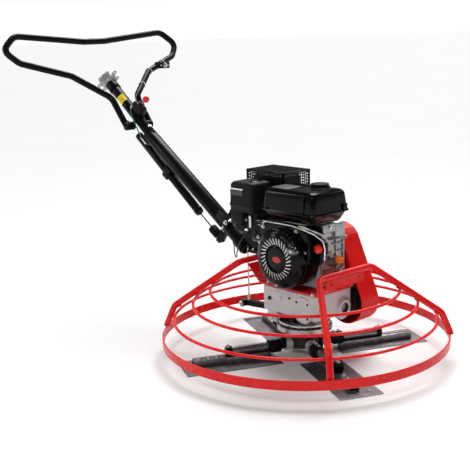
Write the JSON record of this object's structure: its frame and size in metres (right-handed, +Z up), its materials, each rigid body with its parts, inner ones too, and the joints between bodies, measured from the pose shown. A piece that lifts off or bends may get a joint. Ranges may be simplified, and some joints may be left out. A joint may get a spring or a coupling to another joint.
{
  "type": "walk-behind power trowel",
  "caption": "Walk-behind concrete power trowel: bladed rotor in a ring guard, worm gearbox, small petrol engine and a folding handle with loop bar and pitch wheel.",
  "frame": {"origin": "centre of the bounding box's base, on the plane of the blade undersides", "axes": "+Z up, +X forward away from the operator, +Y towards the belt side of the engine"},
  "size_m": [1.7112, 0.98, 1.1091],
  "materials": {
    "guard_red": "gloss powder coat",
    "handle_black": "satin powder coat",
    "engine_black": "gloss enamel",
    "engine_alloy": "as cast",
    "gearbox_alloy": "machined and as cast",
    "bright_steel": "turned, zinc bright",
    "blade_steel": "blued spring steel",
    "dark_iron": "dark cast",
    "wheel_bronze": "hobbed bronze",
    "belt": "matt",
    "black_plastic": "fine texture",
    "red_plastic": "gloss",
    "orange_plastic": "satin",
    "cable_black": "satin",
    "cable_green": "satin",
    "wire_pale": "satin",
    "wheel_alloy": "die cast"
  },
  "bodies": {
    "frame": {"guard_band": "guard_red", "guard_wire_lower": "guard_red", "guard_wire_middle": "guard_red", "guard_wire_upper": "guard_red", "guard_front_hoop": "guard_red", "guard_rear_hoop": "guard_red", "gearbox_housing": "gearbox_alloy", "engine_base": "guard_red", "handle_mount": "handle_black", "drive_belt": "belt", "belt_guard": "guard_red", "crankcase": "engine_alloy", "cylinder_head": "engine_alloy", "fan_shroud": "engine_black", "recoil_cover": "engine_black", "fuel_tank": "engine_black", "air_cleaner": "black_plastic", "carburettor": "engine_alloy", "muffler": "dark_iron", "muffler_guard": "engine_black", "engine_wire": "wire_pale", "lower_handle": "handle_black", "fold_pin": "bright_steel", "throttle_loop": "cable_black"},
    "rotor": {"spider_hub": "dark_iron", "output_shaft": "bright_steel", "worm_wheel": "wheel_bronze"},
    "pressure_plate_body": {"pressure_plate": "bright_steel"},
    "thrust_collar_body": {"thrust_collar": "bright_steel"},
    "worm": {"worm_shaft": "bright_steel", "gearbox_pulley": "dark_iron"},
    "clutch": {"clutch_drum": "bright_steel"},
    "crank": {"crankshaft": "bright_steel", "flywheel_fan": "dark_iron"},
    "yoke": {"pitch_yoke": "handle_black"},
    "cable": {"pitch_cable": "bright_steel"},
    "handle": {"handle_tube": "handle_black", "control_tube": "handle_black", "handlebar": "handle_black", "throttle_housing": "black_plastic", "stop_switch": "black_plastic", "throttle_cable": "cable_green", "stop_cable": "cable_black"},
    "handwheel": {"pitch_handwheel": "wheel_alloy"},
    "latch": {"latch_rod": "handle_black"},
    "throttle": {"throttle_lever": "red_plastic"},
    "stop": {"stop_button": "bright_steel"},
    "grip": {"starter_grip": "black_plastic"},
    "ignition": {"engine_switch": "red_plastic"},
    "tank_cap": {"fuel_cap": "black_plastic"},
    "oil_cap": {"oil_filler_cap": "orange_plastic"},
    "choke": {"choke_lever": "bright_steel"},
    "blade_1": {"blade_arm_1": "handle_black", "trowel_blade_1": "blade_steel"},
    "blade_2": {"blade_arm_2": "handle_black", "trowel_blade_2": "blade_steel"},
    "blade_3": {"blade_arm_3": "handle_black", "trowel_blade_3": "blade_steel"},
    "blade_4": {"blade_arm_4": "handle_black", "trowel_blade_4": "blade_steel"}
  },
  "joints": [
    {"name": "rotor_spin", "type": "hinge", "parent": "frame", "child": "rotor", "pos_m": [0.3655, 0, 0.1], "axis": [0, 0, -1], "continuous": true},
    {"name": "worm_spin", "type": "hinge", "parent": "frame", "child": "worm", "pos_m": [0.4455, 0, 0.187], "axis": [0, 1, 0], "continuous": true},
    {"name": "clutch_spin", "type": "hinge", "parent": "frame", "child": "clutch", "pos_m": [0.3835, 0.123, 0.362], "axis": [0, 1, 0], "continuous": true},
    {"name": "crank_spin", "type": "hinge", "parent": "frame", "child": "crank", "pos_m": [0.3835, 0, 0.362], "axis": [0, 1, 0], "continuous": true},
    {"name": "handle_fold", "type": "hinge", "parent": "frame", "child": "handle", "pos_m": [0.00749, 0, 0.41557], "axis": [0, 1, 0], "range_deg": [0, 66]},
    {"name": "pitch_wheel_turn", "type": "hinge", "parent": "handle", "child": "handwheel", "pos_m": [-0.71244, 0, 0.89152], "axis": [-0.8028, 0, 0.5963], "range_deg": [0, 1440]},
    {"name": "pitch_yoke_tilt", "type": "hinge", "parent": "frame", "child": "yoke", "pos_m": [0.2955, 0, 0.1365], "axis": [0, 1, 0], "range_deg": [0, 3.55]},
    {"name": "pitch_cable_pull", "type": "slide", "parent": "frame", "child": "cable", "axis": [0, 0, 1], "range_m": [0, 0.01303]},
    {"name": "thrust_collar_slide", "type": "slide", "parent": "frame", "child": "thrust_collar_body", "axis": [0, 0, -1], "range_m": [0, 0.00427]},
    {"name": "pressure_plate_slide", "type": "slide", "parent": "rotor", "child": "pressure_plate_body", "axis": [0, 0, -1], "range_m": [0, 0.00437]},
    {"name": "blade_1_pitch", "type": "hinge", "parent": "rotor", "child": "blade_1", "pos_m": [0.45664, -0.04115, 0.04], "axis": [-0.9114, 0.4115, 0], "range_deg": [0, 12.6]},
    {"name": "blade_2_pitch", "type": "hinge", "parent": "rotor", "child": "blade_2", "pos_m": [0.40665, 0.09114, 0.04], "axis": [-0.4115, -0.9114, 0], "range_deg": [0, 12.6]},
    {"name": "blade_3_pitch", "type": "hinge", "parent": "rotor", "child": "blade_3", "pos_m": [0.27436, 0.04115, 0.04], "axis": [0.9114, -0.4115, 0], "range_deg": [0, 12.6]},
    {"name": "blade_4_pitch", "type": "hinge", "parent": "rotor", "child": "blade_4", "pos_m": [0.32435, -0.09114, 0.04], "axis": [0.4115, 0.9114, 0], "range_deg": [0, 12.6]},
    {"name": "fold_latch_pull", "type": "slide", "parent": "handle", "child": "latch", "axis": [-0.829, 0, 0.5592], "range_m": [0, 0.022], "stiffness_N_per_m": 300, "springref_m": -0.02},
    {"name": "throttle_lever_swing", "type": "hinge", "parent": "handle", "child": "throttle", "pos_m": [-0.53009, 0, 0.81316], "axis": [0, -1, 0], "range_deg": [0, 50]},
    {"name": "stop_button_press", "type": "slide", "parent": "handle", "child": "stop", "axis": [-1, 0, 0], "range_m": [0, 0.004], "stiffness_N_per_m": 800, "springref_m": -0.002},
    {"name": "starter_pull", "type": "slide", "parent": "frame", "child": "grip", "axis": [0, -1, 0], "range_m": [0, 0.45], "stiffness_N_per_m": 25, "springref_m": -0.4},
    {"name": "ignition_turn", "type": "hinge", "parent": "frame", "child": "ignition", "pos_m": [0.5175, -0.09, 0.405], "axis": [0, -1, 0], "range_deg": [0, 60]},
    {"name": "fuel_cap_turn", "type": "hinge", "parent": "frame", "child": "tank_cap", "pos_m": [0.4405, 0.003, 0.59], "axis": [0, 0, 1], "range_deg": [0, 90]},
    {"name": "oil_cap_turn", "type": "hinge", "parent": "frame", "child": "oil_cap", "pos_m": [0.5115, 0.01, 0.35], "axis": [0.9135, 0, 0.4067], "range_deg": [0, 720]},
    {"name": "choke_swing", "type": "hinge", "parent": "frame", "child": "choke", "pos_m": [0.222, -0.109, 0.444], "axis": [0, 1, 0], "range_deg": [0, 55]}
  ],
  "couplings": [
    {"joint": "worm_spin", "follows": "rotor_spin", "ratio": 24},
    {"joint": "clutch_spin", "follows": "rotor_spin", "ratio": 30.545},
    {"joint": "pitch_wheel_turn", "follows": "thrust_collar_slide", "rad_per_m": 5885.4},
    {"joint": "pitch_yoke_tilt", "follows": "thrust_collar_slide", "rad_per_m": 14.306},
    {"joint": "pitch_cable_pull", "follows": "thrust_collar_slide", "ratio": 3.0043},
    {"joint": "pressure_plate_slide", "follows": "thrust_collar_slide", "ratio": 1},
    {"joint": "blade_1_pitch", "follows": "thrust_collar_slide", "rad_per_m": 51.093},
    {"joint": "blade_2_pitch", "follows": "thrust_collar_slide", "rad_per_m": 51.093},
    {"joint": "blade_3_pitch", "follows": "thrust_collar_slide", "rad_per_m": 51.093},
    {"joint": "blade_4_pitch", "follows": "thrust_collar_slide", "rad_per_m": 51.093}
  ]
}
